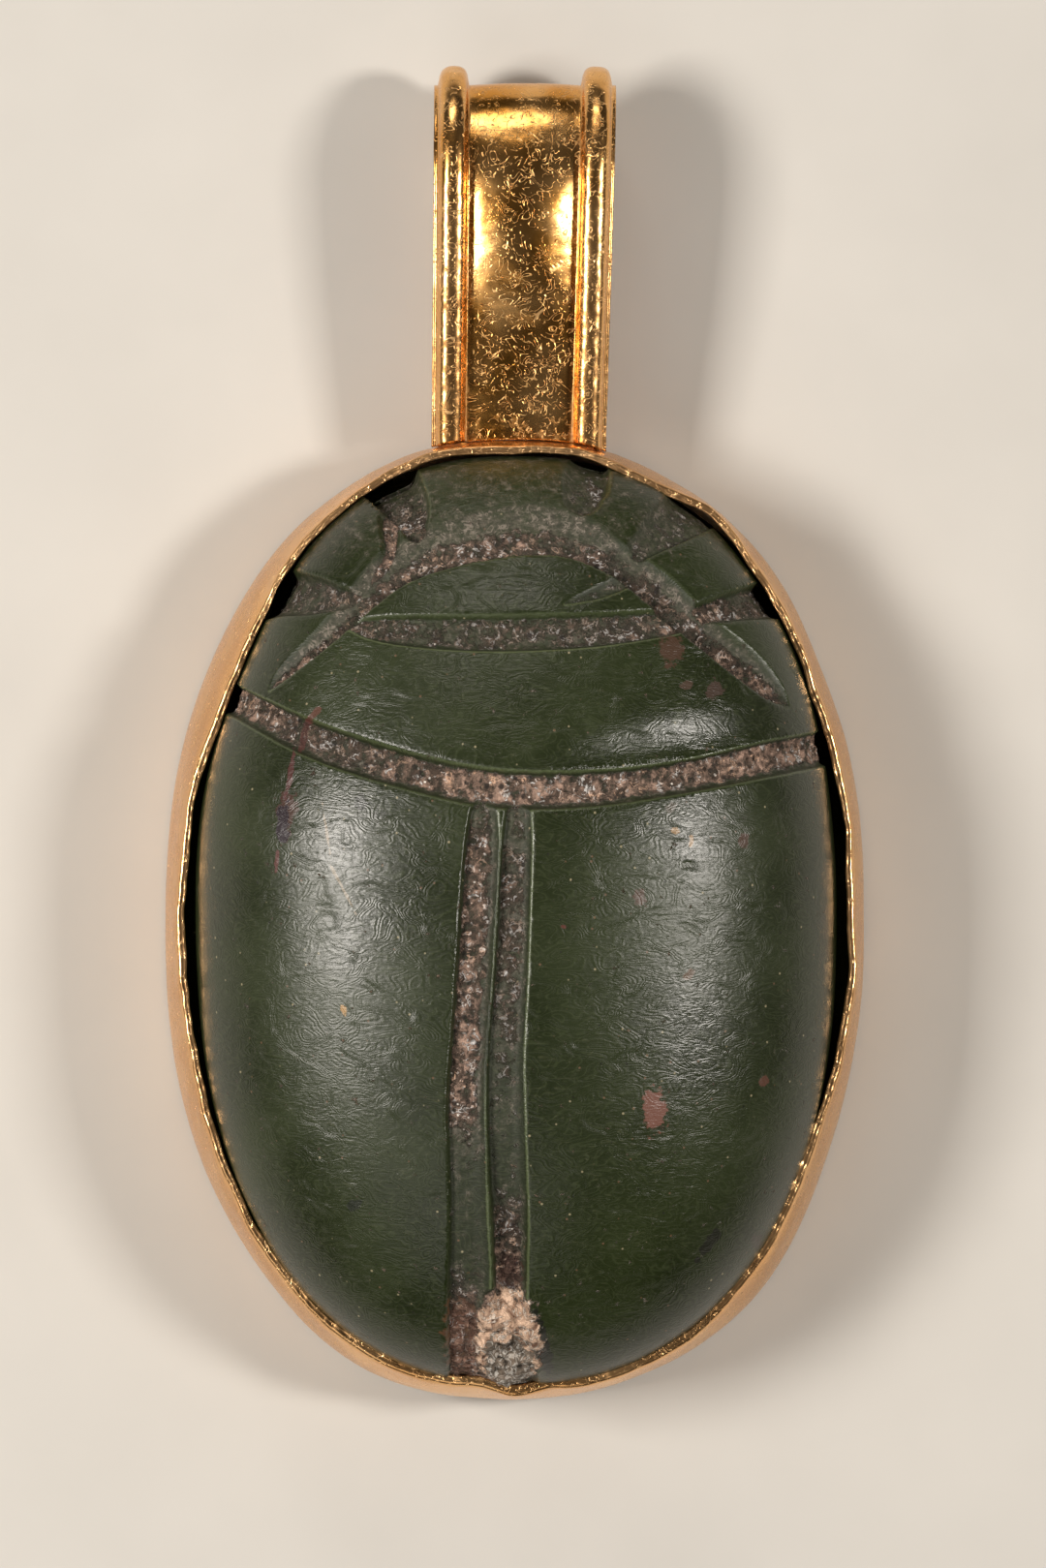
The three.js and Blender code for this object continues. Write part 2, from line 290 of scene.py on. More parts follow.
def rings_and_angles(cube):
    """Ring number from the crown and angle round the block, for points on a cube of size 2."""
    x, y, z = cube.T
    square = np.maximum(np.abs(x), np.abs(y))
    ring = np.where(z < -0.9999, 2 - 0.5 * square, 0.5 * square + 0.5 * (1 - z)) * CELLS
    steep = np.abs(y) > np.abs(x)
    small = np.where(steep, x, y)
    large = np.where(steep, y, x)
    slant = math.pi / 4 * small / np.where(large == 0, 1, large)
    flat_angle = slant + math.pi * (x < 0)
    steep_angle = math.pi / 2 * np.sign(y) - slant
    return ring, np.where(steep, steep_angle, flat_angle)


def girth_radius(angle):
    """The girth oval, ground back a little at the left cheek."""
    return oval_radius(angle, **GIRTH) + bumps_at(angle, CHEEK_TRIM)


def back_height(x, y):
    """Height of the uncut back over the plan. It falls away towards the head."""
    reach = np.minimum(1, np.hypot(x, y) / girth_radius(np.arctan2(y, x)))
    dome = (1 - reach**CROWN_POWER) ** (1 / CROWN_POWER)
    drop = 1 - HEAD_DROP * smoothstep(0.2 * GIRTH["head"], GIRTH["head"], y)
    return GIRTH_HEIGHT + (stone_top - GIRTH_HEIGHT) * dome * drop


def blank_points(cube):
    """Places on the blank for points on the cube, and their ring numbers."""
    ring, angle = rings_and_angles(cube)
    rings, reaches, heights = np.array(SIDE_RINGS).T
    on_crown = ring < CROWN_RINGS
    crown_reach = np.sin(ring / CROWN_RINGS * math.pi / 2)
    reach = np.where(on_crown, crown_reach, np.interp(ring, rings, reaches))
    girth = girth_radius(angle)
    plinth = oval_radius(angle, **PLINTH) + np.minimum(0, bumps_at(angle, FOOT_BUMPS))
    out = np.where(reach <= 1, reach * girth, girth + (reach - 1) * (plinth - girth))
    on_face = (2 * CELLS - ring) / (2 * CELLS - FACE_RING) * (girth + FACE_REACH * (plinth - girth))
    out = np.where(ring >= FACE_RING, on_face, out)
    x, y = out * np.cos(angle), out * np.sin(angle)
    z = np.where(on_crown, back_height(x, y), np.interp(ring, rings, heights))
    return np.stack([x, y, z], axis=1), ring


# %% [markdown]
# ## The cuts
#
# All lines of the beetle are ploughed with a round tool, so a cut is a path in plan with a half
# width, a depth and a share of brown deposit at each of its points. The walls to the left and
# right of the path take their own shares of the width: a small share is a steep wall. The
# wear_and_highlight_edges say how pale the two edges are painted: partly bruised wear, partly a
# painted highlight, strongest on the edges that face the lamps.

# %% List of cuts
# Path points are (x, y, half width, depth, deposit), in mm. walls, wear_and_highlight_edges and
# soft are (left, right).
# A cut that is soft on both sides is only a rubbed hollow, with no edge, dust or deposit.
CUTS = {
    "thorax_to_wings": {
        "path": [
            (-16.6, 12.6, 0.75, 0.4, 1.0), (-14.5, 11.45, 0.8, 0.6, 0.9),
            (-10.2, 9.35, 0.95, 0.75, 0.55), (-5.2, 7.75, 0.95, 0.7, 0.75),
            (-1.0, 6.95, 1.0, 0.72, 1.0), (3.5, 6.95, 0.95, 0.7, 0.85), (8.5, 7.6, 0.88, 0.72, 0.8),
            (13.0, 8.5, 0.95, 0.65, 1.0), (17.2, 9.25, 0.9, 0.4, 1.0),
        ],
        "walls": (0.24, 0.62), "wear_and_highlight_edges": (0.8, 0.5),
    },
    "head_to_thorax": {
        "path": [
            (-8.7, 15.2, 0.15, 0.1, 0.5), (-7.4, 15.1, 0.6, 0.4, 0.55),
            (-5.0, 14.95, 0.85, 0.5, 0.4), (-1.0, 14.85, 0.95, 0.55, 0.45),
            (3.5, 15.0, 0.9, 0.55, 0.45), (7.5, 15.4, 0.7, 0.5, 0.6), (9.4, 15.8, 0.5, 0.5, 0.9),
        ],
        "walls": (0.2, 0.5), "wear_and_highlight_edges": (0.4, 1.0),
    },
    "brow_left": {
        "path": [
            (-12.65, 12.05, 0.12, 0.05, 0.5), (-11.9, 12.95, 0.4, 0.3, 0.8),
            (-9.9, 14.75, 0.6, 0.5, 0.65), (-8.2, 16.5, 0.8, 0.5, 0.6),
            (-6.3, 18.3, 1.1, 0.5, 0.65), (-3.4, 19.6, 1.35, 0.55, 0.7),
            (0.3, 20.3, 1.45, 0.55, 0.68), (3.0, 19.9, 1.25, 0.55, 0.6),
            (5.4, 18.5, 0.85, 0.5, 0.6),
        ],
        "walls": (1.5, 0.2), "wear_and_highlight_edges": (0.0, 0.7), "soft": (True, False),
    },
    "brow_right": {
        "path": [
            (4.9, 18.9, 0.8, 0.5, 0.5), (7.2, 17.1, 0.95, 0.75, 0.6), (9.4, 15.1, 0.85, 0.8, 0.6),
            (11.7, 13.3, 0.85, 0.65, 0.85), (13.1, 12.0, 0.6, 0.4, 0.8),
            (13.9, 11.2, 0.12, 0.05, 0.4),
        ],
        "walls": (1.1, 0.25), "wear_and_highlight_edges": (0.15, 0.2),
    },
    "wing_line_left": {
        "path": [
            (-1.78, 5.6, 0.75, 0.35, 0.4), (-1.88, 3.6, 0.93, 0.5, 0.7),
            (-2.25, -2.4, 0.96, 0.6, 0.75), (-2.65, -8.5, 1.0, 0.55, 0.8),
            (-2.62, -11.0, 1.0, 0.45, 0.35), (-2.55, -14.5, 0.98, 0.38, 0.15),
            (-2.5, -18.0, 1.1, 0.42, 0.3), (-2.7, -20.0, 0.95, 0.6, 0.75),
            (-2.7, -24.3, 0.85, 0.25, 0.9),
        ],
        "walls": (0.85, 0.2), "wear_and_highlight_edges": (0.8, 0.1),
    },
    "wing_line_right": {
        "path": [
            (-0.03, 5.6, 0.7, 0.35, 0.35), (-0.13, 3.6, 0.82, 0.5, 0.45),
            (-0.4, -2.4, 0.89, 0.55, 0.5), (-0.68, -6.9, 0.97, 0.5, 0.3),
            (-0.55, -12.4, 1.0, 0.55, 0.2), (-0.42, -15.0, 0.95, 0.8, 0.55),
            (-0.38, -19.0, 0.86, 1.0, 0.9), (-0.4, -22.0, 0.8, 1.0, 0.9),
        ],
        "walls": (0.75, 0.22), "wear_and_highlight_edges": (0.9, 0.3),
    },
    "tail_pit": {
        "path": [
            (-1.1, -19.3, 0.9, 0.5, 0.9), (-1.1, -21.0, 1.9, 0.8, 0.9),
            (-1.1, -24.6, 2.4, 0.3, 0.9),
        ],
        "walls": (0.35, 0.35), "wear_and_highlight_edges": (0.2, 0.2),
    },
    "notch_left_low": {
        "path": [
            (-14.6, 16.6, 1.3, 0.4, 0.5), (-12.4, 17.0, 1.25, 0.7, 0.45),
            (-10.6, 16.9, 1.1, 0.7, 0.45), (-9.2, 16.7, 0.7, 0.5, 0.55),
            (-8.2, 16.6, 0.4, 0.3, 0.6),
        ],
        "walls": (0.35, 0.6), "wear_and_highlight_edges": (0.15, 0.1),
    },
    "notch_left_high": {
        "path": [
            (-7.6, 24.0, 1.6, 0.7, 0.3), (-6.4, 22.7, 1.5, 0.85, 0.35),
            (-5.6, 21.4, 1.2, 0.8, 0.55), (-5.2, 20.3, 0.7, 0.5, 0.6),
        ],
        "walls": (0.55, 0.16), "wear_and_highlight_edges": (0.3, 0.1),
    },
    "cheek_line": {
        "path": [
            (-6.6, 20.9, 0.6, 0.6, 0.9), (-6.55, 19.2, 0.45, 0.4, 0.9), (-7.3, 17.4, 0.4, 0.3, 0.7),
        ],
        "walls": (0.7, 0.4), "wear_and_highlight_edges": (0.0, 0.0),
    },
    "scoop_right_high": {
        "path": [
            (3.75, 23.6, 1.1, 0.45, 0.3), (3.55, 22.7, 1.25, 0.5, 0.35),
            (3.35, 22.0, 1.05, 0.45, 0.35),
        ],
        "walls": (0.35, 0.9), "wear_and_highlight_edges": (0.35, 0.0),
    },
    "scoop_right_middle": {
        "path": [
            (9.6, 21.9, 1.6, 0.15, 0.3), (8.2, 20.9, 1.35, 0.45, 0.35), (6.3, 19.3, 0.7, 0.35, 0.4),
        ],
        "walls": (0.12, 0.95), "wear_and_highlight_edges": (0.5, 0.0),
    },
    "island_facet": {
        "path": [
            (2.4, 16.4, 0.12, 0.05, 0.2), (4.1, 17.0, 0.4, 0.2, 0.3), (6.0, 17.8, 0.45, 0.25, 0.4),
        ],
        "walls": (1.0, 0.3), "wear_and_highlight_edges": (0.0, 0.7), "soft": (True, False),
    },
    "thorax_roll": {
        "path": [
            (2.0, 8.3, 1.0, 0.06, 0.0), (6.0, 8.8, 1.7, 0.3, 0.0), (10.5, 9.5, 1.7, 0.26, 0.0),
            (14.0, 10.3, 1.0, 0.06, 0.0),
        ],
        "walls": (1.0, 1.0), "wear_and_highlight_edges": (0.0, 0.0), "soft": (True, True),
    },
    "notch_right_low": {
        "path": [
            (15.6, 17.0, 1.2, 0.3, 0.5), (13.4, 16.75, 1.05, 0.6, 0.5),
            (11.4, 16.4, 0.85, 0.7, 0.55), (9.5, 15.9, 0.6, 0.5, 0.8),
        ],
        "walls": (0.6, 0.2), "wear_and_highlight_edges": (0.1, 0.3),
    },
}
CURVE_POINTS = 120
CUT_MARGIN = 1.5
BATCH = 4000
UNCUT = -9.0


def tool_route(path):
    """Many points along a smooth curve through the path, with their values and headings."""
    knots = np.array(path)
    ends = np.vstack([2 * knots[0] - knots[1], knots, 2 * knots[-1] - knots[-2]])
    station = np.linspace(0, len(knots) - 1, CURVE_POINTS)
    index = np.minimum(station.astype(int), len(knots) - 2)
    t = (station - index)[:, None]
    p0, p1, p2, p3 = (ends[index + shift] for shift in range(4))
    square = 2 * p0 - 5 * p1 + 4 * p2 - p3
    cube = 3 * p1 - p0 - 3 * p2 + p3
    route = 0.5 * (2 * p1 + (p2 - p0) * t + square * t**2 + cube * t**3)
    heading = np.gradient(route[:, :2], axis=0)
    return route, heading / np.linalg.norm(heading, axis=1)[:, None]


def wall_share(ramp, soft):
    """Share of the depth reached up a wall. A plain wall starts steep and a soft one rolls in."""
    ramp = np.clip(ramp, 0, 1)
    return ramp * ramp * (3 - 2 * ramp) if soft else np.sin(math.pi / 2 * ramp)


def plough(plan, cut, marks):
    """Adds a cut to the marks: depth, floor (its share), inside (mm from its edge), dirt, lip."""
    route, heading = tool_route(cut["path"])
    margin = route[:, 2].max() + CUT_MARGIN
    low, high = route[:, :2].min(0) - margin, route[:, :2].max(0) + margin
    near = np.where(((plan > low) & (plan < high)).all(axis=1))[0]
    for part in np.array_split(near, max(1, len(near) // BATCH)):
        gap = plan[part][:, None, :] - route[None, :, :2]
        nearest = (gap**2).sum(-1).argmin(1)
        to_point = gap[np.arange(len(part)), nearest]
        ahead = heading[nearest]
        at_end = (nearest == 0) | (nearest == CURVE_POINTS - 1)
        past_end = np.abs((to_point * ahead).sum(1)) * at_end
        side = ahead[:, 0] * to_point[:, 1] - ahead[:, 1] * to_point[:, 0]
        half, deep, deposit = route[nearest, 2:].T
        away = np.hypot(side, past_end)
        across = np.sign(side) * away / half
        soft = cut.get("soft", (False, False))
        wall_left = wall_share((1 - across) / cut["walls"][0], soft[0])
        wall_right = wall_share((1 + across) / cut["walls"][1], soft[1])
        share = np.minimum(wall_left, wall_right)
        if all(soft):
            marks["depth"][part] = np.maximum(deep * share, marks["depth"][part])
            continue
        # How pale this edge is painted: partly bruised wear, partly a painted highlight on edges
        # facing the lamps.
        edge_wear_and_highlight = np.where(side > 0, *cut["wear_and_highlight_edges"])
        closer = half - away > marks["inside"][part]
        marks["lip"][part] = np.where(closer, edge_wear_and_highlight, marks["lip"][part])
        marks["inside"][part] = np.maximum(half - away, marks["inside"][part])
        deeper = deep * share > marks["depth"][part]
        marks["dirt"][part] = np.where(deeper, deposit, marks["dirt"][part])
        marks["floor"][part] = np.where(deeper, share, marks["floor"][part])
        marks["depth"][part] = np.maximum(deep * share, marks["depth"][part])


def carve(plan):
    """The marks that all cuts leave at plan points."""
    marks = {name: np.zeros(len(plan)) for name in ("depth", "floor", "dirt", "lip")}
    marks["inside"] = np.full(len(plan), UNCUT)
    for cut in CUTS.values():
        plough(plan, cut, marks)
    return marks


print(len(CUTS), "cuts")

# %% [markdown]
# ## Cutting the stone
#
# Sharp cuts need small cells, and the smooth wing cases don't, so only the cells near a cut are
# divided again, twice. The cells still lie flat on the cube while they are divided, so the new
# points land exactly on the blank. Then the whole mesh goes to the blank, and each vertex is
# pushed in along its normal by the depth of the cuts. Deposit and the tan crust at the tail are
# built up again in lumps. The face of the seal gets a border and five ruled lines.

# %% Divide the cells near the cuts
BORDER_SHARE = 0.86
BORDER_SCALE = 18
RULES = (-13.0, -6.5, 0.0, 6.5, 13.0)
RULE_HALF = 0.3
RULE_DEPTH = 0.22


def rule_depth(plan):
    """Depth of the border and the ruled lines on the seal face."""
    share = np.hypot(*plan.T) / girth_radius(np.arctan2(plan[:, 1], plan[:, 0]))
    away = np.abs(share - BORDER_SHARE) * BORDER_SCALE
    for rule in RULES:
        away = np.minimum(away, np.where(share < BORDER_SHARE, np.abs(plan[:, 1] - rule), 9))
    return RULE_DEPTH * smoothstep(RULE_HALF, 0.05, away)


stone = bmesh.new()
bmesh.ops.create_cube(stone, size=2.0)
bmesh.ops.subdivide_edges(stone, edges=stone.edges[:], cuts=CELLS - 1, use_grid_fill=True)
# Each round divides the cells within reach of a cut, in mm. The face needs only the first.
for reach_out, face_too in ((0.35, True), (0.08, False)):
    centres = np.array([face.calc_center_median() for face in stone.faces])
    places, ring = blank_points(centres)
    near_cut = (carve(places[:, :2])["inside"] > -reach_out) & (ring < LAST_CUT_RING)
    if face_too:
        near_cut |= (ring > FACE_RING) & (rule_depth(places[:, :2]) > 0)
    edges = {edge for face, use in zip(stone.faces, near_cut) if use for edge in face.edges}
    bmesh.ops.subdivide_edges(stone, edges=list(edges), cuts=1, use_grid_fill=True)
print("cells", len(stone.faces))

# %% Bend to the blank and carve
CRUST_MIDDLE = (-0.5, -21.4)
CRUST_HALF = (2.0, 3.1)
CRUST_LIFT = 0.6
DEPOSIT_LIFT = 0.1
WOBBLE = 0.05
WOBBLE_SIZE = 7.0
LUMP_SIZE = 0.4
FOLD_SIZE = 0.9

blank, ring = blank_points(np.array([vertex.co for vertex in stone.verts]))
reshape(stone, lambda points: blank)
bmesh.ops.recalc_face_normals(stone, faces=stone.faces)
stone.normal_update()
normals = np.array([vertex.normal for vertex in stone.verts])
above = ring < LAST_CUT_RING
marks = carve(blank[:, :2])
for name, values in marks.items():
    marks[name] = np.where(above, values, UNCUT if name == "inside" else 0.0)
wobble = WOBBLE * roughness_of(blank, WOBBLE_SIZE, 2) - 0.04
lumps = roughness_of(blank, LUMP_SIZE, 3)
on_floor = marks["dirt"] * smoothstep(0.6, 0.95, marks["floor"])
crust_reach = np.hypot(*((blank[:, :2] - CRUST_MIDDLE) / CRUST_HALF).T)
crust = np.where(above, 1 - smoothstep(0.5, 1.15, crust_reach), 0)
lift = wobble - marks["depth"] + on_floor * (DEPOSIT_LIFT + 0.16 * lumps) * (1 - crust)
crust_folds = roughness_of(blank + 60, FOLD_SIZE, 2)
lift = lift + crust * (CRUST_LIFT + 0.4 * crust_folds + 0.15 * lumps)
lift = np.where(above, lift, 0)
lift = np.where(ring > FACE_RING, -rule_depth(blank[:, :2]), lift)
reshape(stone, lambda points: blank + normals * lift[:, None])
print("deepest cut", round(float(marks["depth"].max()), 2), "mm")

# %% [markdown]
# ## Green jasper
#
# Jasper is a fine-grained opaque quartz. It was ground and rubbed to a dull polish, so the eye
# sees a dark green body, a broad grey sheen broken by thousands of fine curved rubbing marks,
# and pale and dark specks. Brown deposit is packed into the cuts. The vertex fields say where
# the cuts are, and noise added to them frays the edge of the deposit below the mesh size.

# %% Jasper: body, rubbing marks and specks
jasper, tree, output = new_material("ground_green_jasper")
add = partial(add_node, tree)
place = add("TexCoord", take="Object")
mm = add("Mapping", {"Vector": place, "Scale": (1000, 1000, 1000)})

clouds = add("TexNoise", {"Vector": mm, "Scale": 0.16, "Detail": 4.0})
grain = add("TexNoise", {"Vector": mm, "Scale": 3.0, "Detail": 4.0, "Roughness": 0.65})
cloud_share = add("MapRange", {"Value": clouds, "From Min": 0.38, "From Max": 0.62})
body = add(
    "Mix", {"Factor": cloud_share, "A": linear("#192107"), "B": linear("#242d0f")},
    data_type="RGBA",
)
grain_share = add("MapRange", {"Value": grain, "From Min": 0.5, "From Max": 0.75, "To Max": 0.6})

# Rubbing marks are the level lines of a smooth noise, about 0.15 mm apart, so that they run
# side by side and swirl. A second, stretched noise crosses them with straighter strokes.
swirl_map = add("Mapping", {"Vector": mm, "Rotation": (0, 0, 0.7), "Scale": (0.65, 1.25, 1.0)})
swirl = add("TexNoise", {"Vector": swirl_map, "Scale": 0.7, "Detail": 1.5, "Distortion": 0.6})
many = add("Math", {0: swirl, 1: 16.0}, operation="MULTIPLY")
ripples = add("Math", {0: many, 1: 0.5}, operation="PINGPONG")
stroke_map = add("Mapping", {"Vector": mm, "Rotation": (0, 0, 0.9), "Scale": (0.9, 4.5, 1.5)})
strokes = add(
    "TexNoise",
    {"Vector": stroke_map, "Scale": 1.3, "Detail": 2.0, "Roughness": 0.6, "Distortion": 1.6},
)
rubbing = add("Math", {0: strokes, 1: 1.2, 2: ripples}, operation="MULTIPLY_ADD")
pale_stroke = add("MapRange", {"Value": strokes, "From Min": 0.62, "From Max": 0.72, "To Max": 0.3})
scuffs = add("MapRange", {"Value": ripples, "From Min": 0.34, "From Max": 0.5, "To Max": 0.38})
for mask, shade in ((grain_share, "#343a25"), (pale_stroke, "#55573f"), (scuffs, "#3f472d")):
    body = add("Mix", {"Factor": mask, "A": body, "B": linear(shade)}, data_type="RGBA")

# Specks, one to every two or three square millimetres: as many pale as brown as dark.
specks = add("TexVoronoi", {"Vector": mm, "Scale": 1.5}).node
kind = add("SeparateColor", {"Color": specks.outputs["Color"]}, take="Red")
from_speck = specks.outputs["Distance"]
spot = add("MapRange", {"Value": from_speck, "From Min": 0.12, "From Max": 0.06})
for low, colour in ((0.7, "#8d8468"), (0.45, "#5f4a36"), (0.0, "#171a0c")):
    this_kind = add("Math", {0: kind, 1: low + 0.12, 2: 0.13}, operation="COMPARE")
    mask = add("Math", {0: spot, 1: this_kind}, operation="MULTIPLY")
    body = add("Mix", {"Factor": mask, "A": body, "B": linear(colour)}, data_type="RGBA")

# %% Jasper: stains, and one painted shadow
# Each stain is an oval in plan: middle and half sizes in mm, turn in degrees, colour, strength.
# The near-black oval at the right side of the tail crust is no stain but a painted shadow.
STAINS_AND_PAINTED_SHADOW = {
    "rust_oval": ((6.9, -9.3), (0.55, 1.25), 4, "#6f4b40", 0.95),
    "rust_shoulder": ((7.8, 14.0), (0.65, 0.8), 10, "#4a362a", 0.9),
    "rust_dot_1": ((8.5, 12.2), (0.3, 0.2), 0, "#4b3c32", 0.9),
    "rust_dot_2": ((10.0, 12.0), (0.45, 0.4), 20, "#463831", 0.9),
    "rust_dot_3": ((11.4, 4.3), (0.22, 0.42), 0, "#4a352a", 0.9),
    "rust_dot_4": ((12.5, -7.9), (0.25, 0.25), 0, "#5a3c30", 0.9),
    "rust_dot_5": ((8.6, -2.4), (0.35, 0.22), 25, "#54402c", 0.9),
    "faint_rust": ((6.1, 1.4), (0.35, 0.5), 0, "#55302a", 0.5),
    "red_dot": ((2.3, 0.0), (0.2, 0.14), 0, "#5a2f28", 0.8),
    "dark_pore": ((7.65, 6.0), (0.36, 0.2), 30, "#38301d", 0.9),
    "ochre_pore_1": ((7.9, 4.85), (0.17, 0.17), 0, "#8a6a3c", 0.85),
    "ochre_pore_2": ((8.7, 4.3), (0.13, 0.3), 0, "#8a6a3c", 0.8),
    "purple_rim": ((-11.75, 5.6), (0.45, 1.2), -8, "#4a2a26", 0.65),
    "purple_blob": ((-11.9, 5.2), (0.36, 0.95), -8, "#241a21", 0.97),
    "purple_tail": ((-12.25, 3.2), (0.11, 0.6), -6, "#5d3634", 0.8),
    "red_top": ((-10.35, 10.7), (0.2, 0.45), -40, "#5f3a30", 0.75),
    "red_thread_1": ((-10.85, 9.6), (0.16, 0.9), -16, "#59302b", 0.75),
    "red_thread_2": ((-11.55, 7.7), (0.13, 1.1), -10, "#553030", 0.75),
    "scratch_1": ((-9.7, 4.9), (0.07, 1.35), 9, "#a08c72", 0.4),
    "scratch_2": ((-8.9, 2.0), (0.08, 1.4), 28, "#a08c72", 0.4),
    "ochre_dot": ((-8.8, -4.2), (0.2, 0.25), 0, "#9a7640", 0.95),
    "dark_spot": ((-8.3, -14.1), (0.4, 0.25), 30, "#1c2018", 0.8),
    "dark_chip": ((-7.9, 6.3), (0.45, 0.4), 20, "#1c2018", 0.8),
    "dark_chip_2": ((-7.0, 5.6), (0.4, 0.25), 0, "#22261a", 0.6),
    "dark_pit": ((9.8, -16.2), (0.25, 1.15), -35, "#17180e", 0.9),
    "lower_pit": ((12.3, -16.3), (0.3, 0.4), 0, "#2c2418", 0.8),
    "tail_throat": ((-0.4, -17.6), (0.6, 0.9), 0, "#3a140d", 0.6),
    "crust_root": ((-2.8, -21.4), (0.85, 2.4), 0, "#7a4630", 0.36),
    # A painted shadow: the near-black oval along the right side of the tail crust.
    "painted_crust_shadow": ((1.35, -21.6), (0.3, 1.9), 12, "#171611", 0.85),
}
# Stains and the painted shadow reach 9 mm up and down from a height of 12 mm, so that they stay off
# the seal face.
STAIN_HEIGHT = 12.0
STAIN_REACH = 9.0
fray = add("TexNoise", {"Vector": mm, "Scale": 1.8, "Detail": 5.0, "Roughness": 0.65})
centred_fray = add("Math", {0: fray, 1: 0.5}, operation="SUBTRACT")


def oval_mask(middle, half, turn, strength):
    """Strength inside a frayed oval in plan, 0 outside."""
    oval = add(
        "Mapping",
        {
            "Vector": mm, "Location": (*middle, STAIN_HEIGHT), "Rotation": (0, 0, math.radians(turn)),
            "Scale": (*half, STAIN_REACH),
        },
        vector_type="TEXTURE",
    )
    reach = add("VectorMath", {0: oval}, take="Value", operation="LENGTH")
    frayed = add("Math", {0: centred_fray, 1: 3.0, 2: reach}, operation="MULTIPLY_ADD")
    return add(
        "MapRange", {"Value": frayed, "From Min": 1.15, "From Max": 0.9, "To Max": strength},
        interpolation_type="SMOOTHSTEP",
    )


# %% Jasper: dust on the head and deposit in the cuts
inside_field, floor_field, dirt_field, lip_field, dust_field, crust_field = (
    add("Attribute", take="Fac", attribute_name=name)
    for name in ("inside", "floor", "dirt", "lip", "dust", "crust")
)

clots = add("TexNoise", {"Vector": mm, "Scale": 1.1, "Detail": 5.0, "Roughness": 0.7})
# White crystals: short level lines of a fine noise, and loose grains.
fine = add("TexNoise", {"Vector": mm, "Scale": 1.8, "Detail": 2.0, "Distortion": 1.5})
fine_many = add("Math", {0: fine, 1: 3.5}, operation="MULTIPLY")
fibres = add("Math", {0: fine_many, 1: 0.5}, operation="PINGPONG")
fibre_line = add("MapRange", {"Value": fibres, "From Min": 0.24, "From Max": 0.1, "To Max": 0.9})
breaks = add("TexNoise", {"Vector": mm, "Scale": 2.2, "Detail": 2.0})
fibre_patch = add("MapRange", {"Value": breaks, "From Min": 0.49, "From Max": 0.53})
fibre_mask = add("Math", {0: fibre_line, 1: fibre_patch}, operation="MULTIPLY")
grains = add("TexVoronoi", {"Vector": mm, "Scale": 3.6}).node
grain_kind = add("SeparateColor", {"Color": grains.outputs["Color"]}, take="Red")
from_grain = grains.outputs["Distance"]
grain_spot = add("MapRange", {"Value": from_grain, "From Min": 0.28, "From Max": 0.16})
few_grains = add("Math", {0: grain_kind, 1: 0.84}, operation="GREATER_THAN")
grain_mask = add("Math", {0: grain_spot, 1: few_grains}, operation="MULTIPLY")

in_cut = add("MapRange", {"Value": inside_field, "From Max": 0.35, "To Max": 0.5})
soiled = add("MapRange", {"Value": dirt_field, "From Min": 0.15, "From Max": 0.5, "To Min": 0.3})
soiled_cut = add("Math", {0: in_cut, 1: soiled}, operation="MULTIPLY")
dusty = add("Math", {0: soiled_cut, 1: dust_field}, operation="MAXIMUM")
soft_dust = add("Math", {0: centred_fray, 1: 1.2, 2: dusty}, operation="MULTIPLY_ADD")
dust_mask = add(
    "MapRange", {"Value": soft_dust, "From Min": 0.1, "From Max": 0.8, "To Max": 0.75},
    interpolation_type="SMOOTHSTEP",
)
powder = add("TexNoise", {"Vector": mm, "Scale": 4.0, "Detail": 4.0, "Roughness": 0.75})
powder_share = add("MapRange", {"Value": powder, "From Min": 0.42, "From Max": 0.66})
dust_colour = add(
    "Mix", {"Factor": powder_share, "A": linear("#312d24"), "B": linear("#756b60")},
    data_type="RGBA",
)
surface = add("Mix", {"Factor": dust_mask, "A": body, "B": dust_colour}, data_type="RGBA")
crystals = add("Math", {0: fibre_mask, 1: grain_mask}, operation="MAXIMUM")
few_crystals = add("Math", {0: crystals, 1: dust_mask}, operation="MULTIPLY")
surface = add(
    "Mix", {"Factor": few_crystals, "A": surface, "B": linear("#92877b")}, data_type="RGBA",
)

# Pale lines along the cut edges, in the lip field: partly bruised wear, partly a painted highlight,
# strongest on the edges that face the lamps.
edge_place = add("Math", {0: centred_fray, 1: 0.16, 2: inside_field}, operation="MULTIPLY_ADD")
edge_away = add("Math", {0: edge_place}, operation="ABSOLUTE")
lip_line = add("MapRange", {"Value": edge_away, "From Min": 0.09, "From Max": 0.02, "To Max": 0.6})
edge_wear_and_highlight_mask = add("Math", {0: lip_line, 1: lip_field}, operation="MULTIPLY")
surface = add("Mix", {"Factor": edge_wear_and_highlight_mask, "A": surface, "B": linear("#66714e")}, data_type="RGBA")

floor_edge = add("Math", {0: centred_fray, 1: 1.4, 2: floor_field}, operation="MULTIPLY_ADD")
on_floor = add(
    "MapRange", {"Value": floor_edge, "From Min": 0.72, "From Max": 0.98},
    interpolation_type="SMOOTHSTEP",
)
patchy = add("Math", {0: clots, 1: 2.2, 2: dirt_field}, operation="MULTIPLY_ADD")
kept = add("MapRange", {"Value": patchy, "From Min": 1.45, "From Max": 1.85})
deposit_mask = add("Math", {0: on_floor, 1: kept}, operation="MULTIPLY")
tint = add(
    "TexNoise", {"Vector": mm, "Scale": 1.7, "Detail": 4.0, "Roughness": 0.65, "Distortion": 0.6},
)
thick_tint = add("Math", {0: dirt_field, 1: 0.22, 2: tint}, operation="MULTIPLY_ADD")
tint_share = add("MapRange", {"Value": thick_tint, "From Min": 0.61, "From Max": 0.84})
deposit = add(
    "Mix", {"Factor": tint_share, "A": linear("#45372c"), "B": linear("#b69785")}, data_type="RGBA",
)

